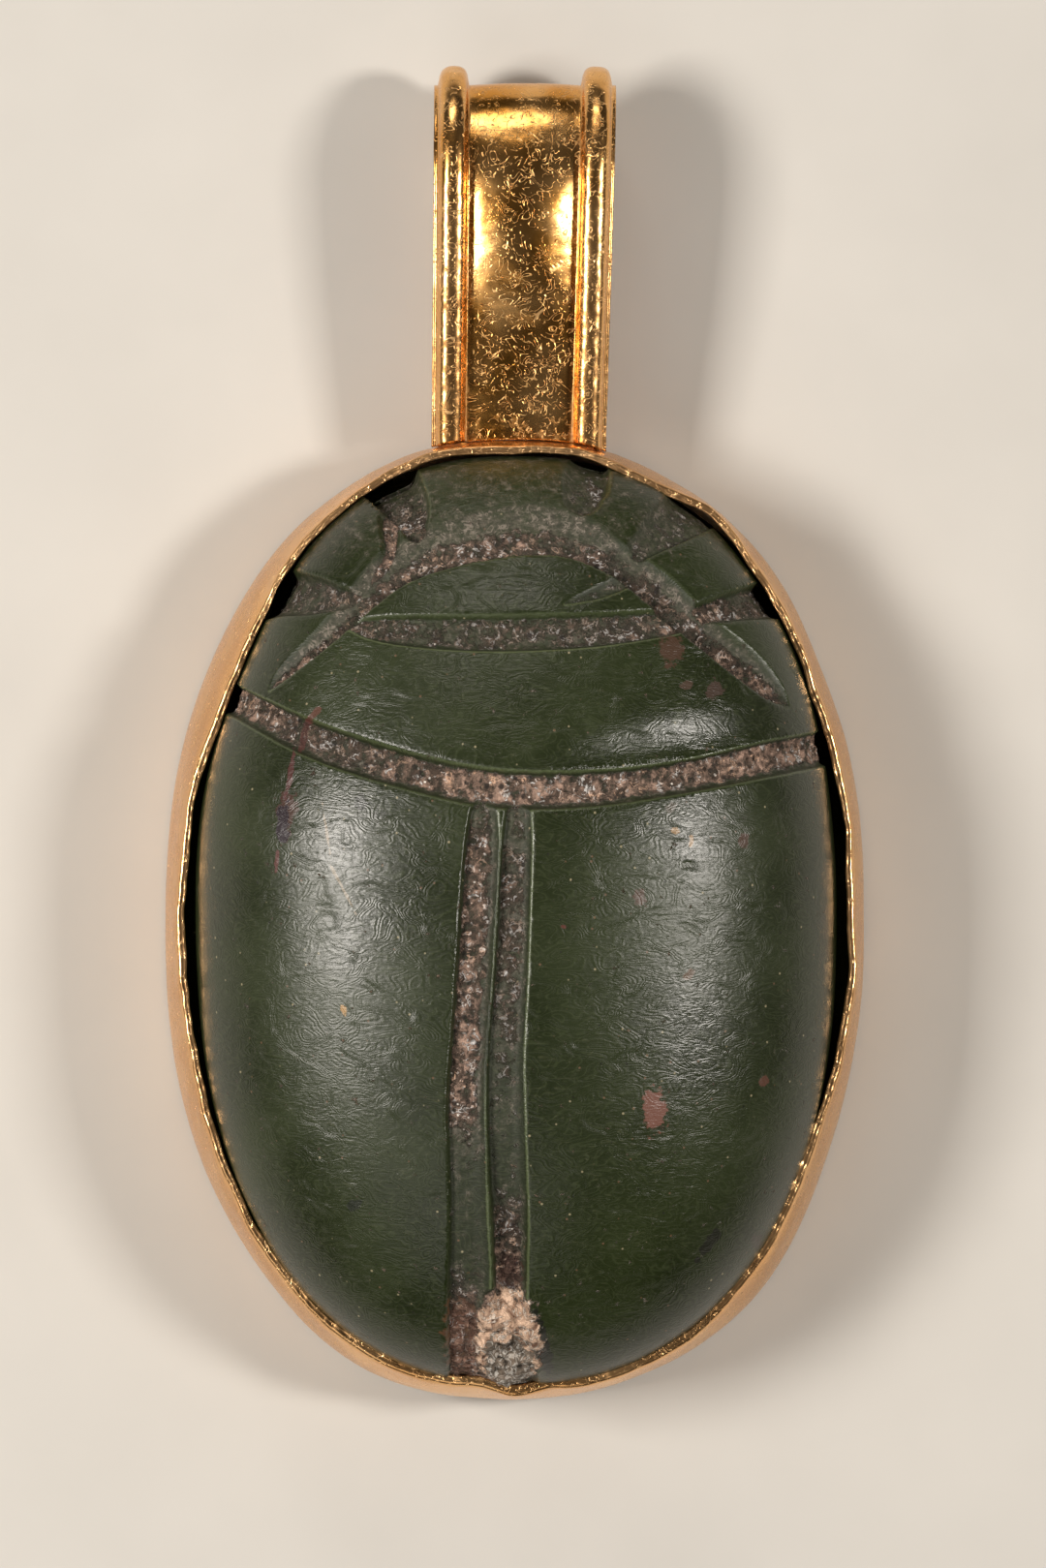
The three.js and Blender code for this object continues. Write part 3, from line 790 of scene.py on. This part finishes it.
grey_share = add("MapRange", {"Value": clots, "From Min": 0.48, "From Max": 0.58})
curl_colour = add(
    "Mix", {"Factor": grey_share, "A": linear("#dfb597"), "B": linear("#cfccc9")}, data_type="RGBA",
)
holes = add("TexVoronoi", {"Vector": mm, "Scale": 1.7}, take="Distance")
hole_mask = add("MapRange", {"Value": holes, "From Min": 0.3, "From Max": 0.18, "To Max": 0.85})
layers = (
    (fibre_mask, curl_colour), (grain_mask, linear("#f0e8de")), (hole_mask, linear("#1f1812")),
)
for mask, shade in layers:
    deposit = add("Mix", {"Factor": mask, "A": deposit, "B": shade}, data_type="RGBA")
surface = add("Mix", {"Factor": deposit_mask, "A": surface, "B": deposit}, data_type="RGBA")
for middle, half, turn, colour, strength in STAINS_AND_PAINTED_SHADOW.values():
    mask = oval_mask(middle, half, turn, strength)
    surface = add("Mix", {"Factor": mask, "A": surface, "B": linear(colour)}, data_type="RGBA")

# A hard tan crust fills the pit at the tail, and turns to grey fibres at its lower end.
folds = add("TexNoise", {"Vector": mm, "Scale": 0.9, "Detail": 3.0, "Distortion": 1.8})
rough_crust = add("Math", {0: centred_fray, 1: 1.9, 2: crust_field}, operation="MULTIPLY_ADD")
crust_mask = add(
    "MapRange", {"Value": rough_crust, "From Min": 0.3, "From Max": 0.52},
    interpolation_type="SMOOTHSTEP",
)
# The crust is darker in the hollows of the same folds that bump it: partly its own tone, partly
# painted shade.
fold_tone_and_shade = add("MapRange", {"Value": folds, "From Min": 0.36, "From Max": 0.6})
crust_colour = add(
    "Mix", {"Factor": fold_tone_and_shade, "A": linear("#684936"), "B": linear("#e9c6aa")}, data_type="RGBA",
)
pale_crust = add("Math", {0: fibre_mask, 1: 0.7}, operation="MULTIPLY")
crust_colour = add(
    "Mix", {"Factor": pale_crust, "A": crust_colour, "B": linear("#f6ebdd")}, data_type="RGBA",
)
grey_mask = oval_mask((-0.3, -22.9), (1.35, 1.9), 14, 0.85)
grey = add(
    "Mix", {"Factor": fibre_line, "A": linear("#5a554b"), "B": linear("#c4c0b8")}, data_type="RGBA",
)
crust_colour = add("Mix", {"Factor": grey_mask, "A": crust_colour, "B": grey}, data_type="RGBA")
surface = add("Mix", {"Factor": crust_mask, "A": surface, "B": crust_colour}, data_type="RGBA")
print(len(STAINS_AND_PAINTED_SHADOW), "stains")

# %% Jasper: relief, gloss and output
packed = add("Math", {0: deposit_mask, 1: crust_mask}, operation="MAXIMUM")
gloss = add(
    "MapRange",
    {"Value": clouds, "From Min": 0.35, "From Max": 0.65, "To Min": 0.29, "To Max": 0.38},
)
unpolished = add("MapRange", {"Value": inside_field, "From Min": 0.02, "From Max": 0.18})
dull = add("Math", {0: unpolished, 1: dust_mask}, operation="MAXIMUM")
dusty_gloss = add("Mix", {"Factor": dull, "A": gloss, "B": 0.66}, data_type="FLOAT")
roughness = add("Mix", {"Factor": packed, "A": dusty_gloss, "B": 0.85}, data_type="FLOAT")
rub_bump = add("Bump", {"Height": rubbing, "Distance": 0.013 * MM})
grain_bump = add("Bump", {"Height": grain, "Distance": 0.012 * MM, "Normal": rub_bump})
crumb = add("Math", {0: fibre_mask, 1: 0.25, 2: tint}, operation="MULTIPLY_ADD")
crumb = add("Math", {0: folds, 1: crust_mask, 2: crumb}, operation="MULTIPLY_ADD")
crumb_height = add("Math", {0: crumb, 1: packed}, operation="MULTIPLY")
relief = add("Bump", {"Height": crumb_height, "Distance": 0.45 * MM, "Normal": grain_bump})
shader = add(
    "BsdfPrincipled",
    {"Base Color": surface, "Roughness": roughness, "IOR": 1.54, "Normal": relief},
)
tree.links.new(shader, output.inputs["Surface"])
print("jasper nodes", len(tree.nodes))

# %% Finish the stone
HEAD_DUST = 0.28

dust = np.where(above, smoothstep(16.5, 21.0, blank[:, 1]) * HEAD_DUST, 0)
fields = {name: marks[name] for name in ("inside", "floor", "dirt", "lip")}
fields.update(dust=dust, crust=crust)
finish_piece(stone, "carved_scarab", "scarab", jasper, fields)

# %% [markdown]
# ## The gold
#
# High-carat gold sheet, cut, bent, soldered and burnished by hand. It is soft, so it carries
# a net of fine curled scratches. Metals keep the default index of refraction: their colour is
# all in the base colour. The scratches are level lines of a smooth noise, broken into short
# lengths. They tilt the surface enough to catch the lamps where the sheet itself looks dark,
# and they are also painted pale cream, a painted glint. Where the sheet is matt its colour is
# painted paler too: a rubbed finish, with a painted sheen in its colour.

# %% Gold material
gold, tree, output = new_material("burnished_gold_sheet")
add = partial(add_node, tree)
place = add("TexCoord", take="Object")
mm = add("Mapping", {"Vector": place, "Scale": (1000, 1000, 1000)})
tone = add("TexNoise", {"Vector": mm, "Scale": 0.35, "Detail": 3.0})
tone_share = add("MapRange", {"Value": tone, "From Min": 0.38, "From Max": 0.62})
colour = add(
    "Mix", {"Factor": tone_share, "A": linear("#dc9a46"), "B": linear("#efb872")}, data_type="RGBA",
)
pits = add("TexVoronoi", {"Vector": mm, "Scale": 0.9}, take="Distance")
pit_mask = add("MapRange", {"Value": pits, "From Min": 0.07, "From Max": 0.03, "To Max": 0.7})
soil_field = add("Attribute", take="Fac", attribute_name="soil")
soil_noise = add("TexNoise", {"Vector": mm, "Scale": 2.2, "Detail": 4.0, "Roughness": 0.7})
soil_edge = add("Math", {0: soil_noise, 1: soil_field}, operation="ADD")
soil_mask = add("MapRange", {"Value": soil_edge, "From Min": 0.85, "From Max": 1.25, "To Max": 0.8})

curls = []
for size, lines, gate_size in ((0.8, 8.0, 1.5), (1.4, 5.0, 2.2)):
    hills = add("TexNoise", {"Vector": mm, "Scale": size, "Detail": 1.0, "Distortion": 1.2})
    many = add("Math", {0: hills, 1: lines}, operation="MULTIPLY")
    levels = add("Math", {0: many, 1: 0.5}, operation="PINGPONG")
    curl = add("MapRange", {"Value": levels, "From Min": 0.07, "From Max": 0.01})
    gate_noise = add("TexNoise", {"Vector": mm, "Scale": gate_size, "Detail": 2.0})
    gate = add("MapRange", {"Value": gate_noise, "From Min": 0.47, "From Max": 0.55})
    curls.append(add("Math", {0: curl, 1: gate}, operation="MULTIPLY"))
scratches = add("Math", {0: curls[0], 1: curls[1]}, operation="MAXIMUM")

polish = add(
    "MapRange", {"Value": tone, "From Min": 0.3, "From Max": 0.7, "To Min": 0.18, "To Max": 0.25},
)
# The matt field makes the sheet rougher and also paints its colour paler: a rubbed finish and a
# painted sheen.
matt_and_sheen_field = add("Attribute", take="Fac", attribute_name="matt")
worn = add("Mix", {"Factor": matt_and_sheen_field, "A": polish, "B": 0.32}, data_type="FLOAT")
scored = add("Mix", {"Factor": scratches, "A": worn, "B": 0.42}, data_type="FLOAT")
roughness = add("Mix", {"Factor": soil_mask, "A": scored, "B": 0.6}, data_type="FLOAT")
# Scratches are also painted pale cream: a painted glint beside the tilt their bump gives.
painted_scratch_glint = add("Math", {0: scratches, 1: 0.4}, operation="MULTIPLY")
layers = (
    (pit_mask, "#6b4526"), (soil_mask, "#6e3c14"), (matt_and_sheen_field, "#edbe8c"),
    (painted_scratch_glint, "#ffe0ab"),
)
for mask, shade in layers:
    colour = add("Mix", {"Factor": mask, "A": colour, "B": linear(shade)}, data_type="RGBA")
metallic = add("MapRange", {"Value": soil_mask, "To Min": 1.0, "To Max": 0.4})
planish = add("TexNoise", {"Vector": mm, "Scale": 0.5, "Detail": 2.0})
planish_bump = add("Bump", {"Height": planish, "Distance": 0.018 * MM})
grit = add("TexNoise", {"Vector": mm, "Scale": 2.5, "Detail": 3.0, "Roughness": 0.6})
grit_bump = add("Bump", {"Height": grit, "Distance": 0.005 * MM, "Normal": planish_bump})
scratch_bump = add(
    "Bump", {"Height": scratches, "Distance": 0.01 * MM, "Normal": grit_bump},
    invert=True,
)
relief = add(
    "Bump", {"Height": pit_mask, "Distance": 0.05 * MM, "Normal": scratch_bump},
    invert=True,
)
shader = add(
    "BsdfPrincipled",
    {"Base Color": colour, "Metallic": metallic, "Roughness": roughness, "Normal": relief},
)
tree.links.new(shader, output.inputs["Surface"])
print("gold nodes", len(tree.nodes))

# %% [markdown]
# ## The bezel band
#
# One strip of sheet is bent round the stone and its upper edge pressed inwards to hold it. The
# strip's cross-section is spun once round, and the round wall is then moved to the oval, with
# the lean of the top edge changing from place to place as the fingers and the burnisher left it.

# %% Band profile and spin
band_low, band_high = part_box("bezel_band")
BAND = dict(
    half_width=band_high.x / MM, head=25.3, tail=-band_low.y / MM, head_power=2.33, tail_power=2.15,
)
BAND_FOOT = band_low.z / MM
BAND_TOP = band_high.z / MM
BAND_LEAN = 0.85
BAND_LEAN_POWER = 2.2
# The top edge leans in by BAND_LEAN, and by these bumps more or less.
RIM_BUMPS = (
    (141, 20, 0.3), (40, 20, 0.28), (213, 17, 0.25), (88, 14, -0.3), (134, 22, 0.85),
    (55, 24, 0.25), (73, 4, 0.2), (64, 4.5, -0.3), (320, 16, 0.45), (100, 6, -0.3),
    (265, 2.2, 0.18), (269.5, 2, -0.18), (274, 2.5, 0.18),
)
SHEET = 0.35
RIM = 0.42
LIP = 0.17
FOOT_ROUND = 0.1
LIP_DROP = 0.15
BAND_STEPS = 1300
SPIN_RADIUS = 10.0


def rim_lean(angle):
    """How far the top edge leans in at each angle, in mm."""
    ripple = 0.04 * np.sin(11 * angle + 0.6) + 0.03 * np.sin(19 * angle + 2.1)
    return BAND_LEAN + ripple + bumps_at(angle, RIM_BUMPS)


def band_radius(angle, height):
    """Radius of the outer wall at an angle and a height."""
    climb = np.clip((height - BAND_FOOT) / (BAND_TOP - BAND_FOOT), 0, 1) ** BAND_LEAN_POWER
    foot = oval_radius(angle, **BAND) + bumps_at(angle, FOOT_BUMPS) * (1 - climb)
    return foot - rim_lean(angle) * climb


# The section goes up the outer wall, over the round lip, down the inner wall and under the foot.
straight = BAND_TOP - BAND_FOOT - (FOOT_ROUND + LIP_DROP)
climbs = [straight * step / 14 for step in range(15)]
drops = [step / 9 for step in range(10)]
turns = [math.pi * step / 10 for step in range(1, 10)]
profile = [(0.0, BAND_FOOT + FOOT_ROUND + climb) for climb in climbs]
profile += [(RIM / 2 * (1 - math.cos(t)), BAND_TOP - LIP * (1 - math.sin(t))) for t in turns]
profile += [(RIM + (SHEET - RIM) * drop, BAND_TOP - LIP_DROP - straight * drop) for drop in drops]
profile += [(SHEET * 0.7, BAND_FOOT), (SHEET * 0.3, BAND_FOOT)]

band = bmesh.new()
corners = [band.verts.new((SPIN_RADIUS - inset, 0, height)) for inset, height in profile]
section = [band.edges.new(pair) for pair in zip(corners, corners[1:] + corners[:1])]
bmesh.ops.spin(
    band, geom=corners + section, cent=(0, 0, 0), axis=(0, 0, 1), angle=2 * math.pi,
    steps=BAND_STEPS, use_merge=True, use_duplicate=False,
)
print("band cells", len(band.faces))

# %% Bend the band
RIM_LUMPS = 2.8
RIM_PITS = 0.5

points = np.array([vertex.co for vertex in band.verts])
angle = np.arctan2(points[:, 1], points[:, 0])
inset = SPIN_RADIUS - np.hypot(points[:, 0], points[:, 1])
height = points[:, 2]
across = inset / RIM * 2 - 1
near_top = smoothstep(BAND_TOP - 0.4, BAND_TOP - 0.05, height)
wall_radius = oval_radius(angle, **BAND)
rim_places = np.stack([wall_radius * np.cos(angle), wall_radius * np.sin(angle), height], 1)
lumps = roughness_of(rim_places, RIM_LUMPS, 3)
pitting = roughness_of(rim_places + 40, RIM_PITS, 3)
groove = (0.05 + 0.04 * np.clip(pitting + 0.2, 0, 1)) * np.exp(-((across / 0.4) ** 2))
thin = 1 + 0.18 * roughness_of(rim_places + 90, 3.0, 2) + 0.35 * bump_at(angle, 268, 30)
radius = band_radius(angle, height) - inset * np.where(near_top > 0, thin, 1)
radius = radius + np.minimum(0, 0.1 * lumps * smoothstep(BAND_FOOT, BAND_TOP, height) - 0.07)
tail_limit = BAND["tail"] / np.maximum(0.5, -np.sin(angle))
radius = np.minimum(radius, tail_limit - 0.03 - inset * 0.9)
height = height - near_top * (groove + 0.08 * np.abs(lumps) + 0.02 * np.clip(pitting, -1, 1) + 0.05)
reshape(band, lambda _: np.stack([radius * np.cos(angle), radius * np.sin(angle), height], 1))
bmesh.ops.recalc_face_normals(band, faces=band.faces)
soil = near_top * 0.12 * np.exp(-((across / 0.45) ** 2)) + 0.35 * (inset > SHEET * 0.8)
# matt: a rougher finish, and a paler colour that is painted sheen.
matt = 0.5 + near_top * (0.2 - 0.25 * bump_at(angle, 268, 35))
fields = {"soil": soil, "matt": matt}
finish_piece(band, "bezel_strip", "bezel_band", gold, fields)

# %% [markdown]
# ## The suspension loop
#
# A strip of sheet with a low ridge along its middle and a round rib beside each edge is folded
# back on itself, so a cord can pass through, and both ends are soldered to the band. A flat
# grid gets the ribs first, is bent along the route, and last gets the thickness of the sheet.

# %% Loop sizes and route
loop_low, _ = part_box("suspension_loop")
LOOP_WIDTH = 9.25
LOOP_SHEET = 0.4
FRONT_Z = 5.8
FRONT_RISE = 1.9
SHOULDER = 1.35
BACK_Z = loop_low.z / MM + 1.0
TIP_Y = 44.57
RIB_RADIUS = 0.75
RIB_STEM = 0.25
RIB_POWER = 2.4
EDGE_LIP = 0.25
RIB_GROOVE = 0.1
RIDGE_CAMBER = 0.58
RIB_MIDDLE = LOOP_WIDTH / 2 - EDGE_LIP - RIB_RADIUS
RIDGE_HALF = RIB_MIDDLE - RIB_RADIUS - RIB_GROOVE
BEND_RADIUS = (FRONT_Z + FRONT_RISE - BACK_Z) / 2
BEND_STRETCH = 1.55
TURN_Y = TIP_Y - BEND_RADIUS * BEND_STRETCH - RIB_RADIUS - RIB_STEM
FOOT_Y = 25.3
FRONT_SHARE = 0.36
BEND_SHARE = 0.32
STRIP_LENGTH = 48
SIDE_SHIFT = 0.15
TIP_SHIFT = 0.35
TAPER = 0.045
SOLDER_GAP = 0.02
print("bend radius", round(BEND_RADIUS, 2), "mm, straight to y", round(TURN_Y, 2))


def strip_height(across):
    """Height of the ribbed face above the flat sheet, at a distance across from the middle."""
    ridge = RIDGE_CAMBER * np.clip(1 - (across / RIDGE_HALF) ** 2, 0, 1)
    from_rib = (np.abs(across) - RIB_MIDDLE) / RIB_RADIUS
    rib = RIB_STEM + RIB_RADIUS * np.clip(1 - np.abs(from_rib) ** RIB_POWER, 0, 1) ** (1 / RIB_POWER)
    rib = rib * (np.abs(from_rib) < 1)
    return np.maximum(ridge, rib)


def foot_of_strand(x, z):
    """Where a strand starts: the y at which it meets the outer wall of the band."""
    y = np.full(len(x), FOOT_Y)
    for _ in range(6):
        turn = np.arctan2(y, x)
        y = y + (band_radius(turn, z) - np.hypot(x, y))
    return y


def along_route(across, share, lift):
    """Points of the strip: across it, along it from front foot to back foot, and off its face."""
    on_front = share < FRONT_SHARE
    on_bend = (share >= FRONT_SHARE) & (share < FRONT_SHARE + BEND_SHARE)
    climb = np.clip(share / FRONT_SHARE, 0, 1)
    turn = np.clip((share - FRONT_SHARE) / BEND_SHARE, 0, 1) * math.pi
    back = np.clip((share - FRONT_SHARE - BEND_SHARE) / (1 - FRONT_SHARE - BEND_SHARE), 0, 1)
    front_z = FRONT_Z + FRONT_RISE * (1 - (1 - climb) ** SHOULDER)
    x_foot = across * 0.98 + SIDE_SHIFT
    front_foot = foot_of_strand(x_foot, np.full(len(across), FRONT_Z)) + SOLDER_GAP
    back_foot = foot_of_strand(x_foot, np.full(len(across), BACK_Z + 0.4)) + SOLDER_GAP
    front_y = front_foot + (TURN_Y - front_foot) * climb
    back_y = TURN_Y + (back_foot - TURN_Y) * back
    bend_z = BACK_Z + BEND_RADIUS + (BEND_RADIUS + lift) * np.cos(turn)
    bend_y = TURN_Y + (BEND_RADIUS * BEND_STRETCH + lift) * np.sin(turn)
    y = np.where(on_front, front_y, np.where(on_bend, bend_y, back_y))
    z = np.where(on_front, front_z + lift, np.where(on_bend, bend_z, BACK_Z - lift))
    reach = np.clip((y - FOOT_Y) / (TIP_Y - FOOT_Y), 0, 1)
    x = SIDE_SHIFT + TIP_SHIFT * reach + across * (1 + TAPER * (reach - 0.5))
    return np.stack([x, y, z], 1)


# %% Bend the loop
loop = bmesh.new()
bmesh.ops.create_grid(loop, x_segments=104, y_segments=380, size=1.0)
flat = np.array([vertex.co for vertex in loop.verts])
across = flat[:, 0] * LOOP_WIDTH / 2
share = (1 - flat[:, 1]) / 2
sheet_places = np.stack([across, share * STRIP_LENGTH, np.zeros(len(share))], 1)
dents = roughness_of(sheet_places, 2.6, 3)
small_dents = roughness_of(sheet_places + 30, 0.8, 2)
rib_share = smoothstep(RIDGE_HALF - 0.2, RIDGE_HALF + 0.3, np.abs(across))
on_bend = smoothstep(FRONT_SHARE - 0.06, FRONT_SHARE + 0.05, share)
flatter = np.maximum(0.8 * on_bend, 0.65 * (1 - smoothstep(0.13, 0.26, share)))
lift = strip_height(across) * (1 - flatter * (1 - rib_share))
lift = lift - 0.03 * (1 + dents) - (0.008 + 0.02 * rib_share) * (0.3 + small_dents) * (lift > 0.1)
reshape(loop, lambda _: along_route(across, share, lift))
bmesh.ops.recalc_face_normals(loop, faces=loop.faces)
corner_soil = np.exp(-(((np.abs(across) - RIDGE_HALF - 0.05) / 0.12) ** 2))
foot_soil = (1 - rib_share) * (1 - smoothstep(0.02, 0.12, share))
soil = 0.45 * corner_soil + 0.34 * foot_soil
# matt: a rougher finish on the ribs, and a paler colour that is painted sheen.
matt = 0.35 * rib_share * (1 - 0.7 * on_bend)
for field, values in (("soil", soil), ("matt", matt)):
    layer = loop.verts.layers.float.new(field)
    for vertex, value in zip(loop.verts, values):
        vertex[layer] = value
loop.normal_update()
top_face = max(loop.faces, key=lambda face: face.calc_center_median().z)
if top_face.normal.z < 0:
    bmesh.ops.reverse_faces(loop, faces=loop.faces[:])
bmesh.ops.solidify(loop, geom=loop.faces[:], thickness=LOOP_SHEET)
finish_piece(loop, "ribbed_loop", "suspension_loop", gold, {})
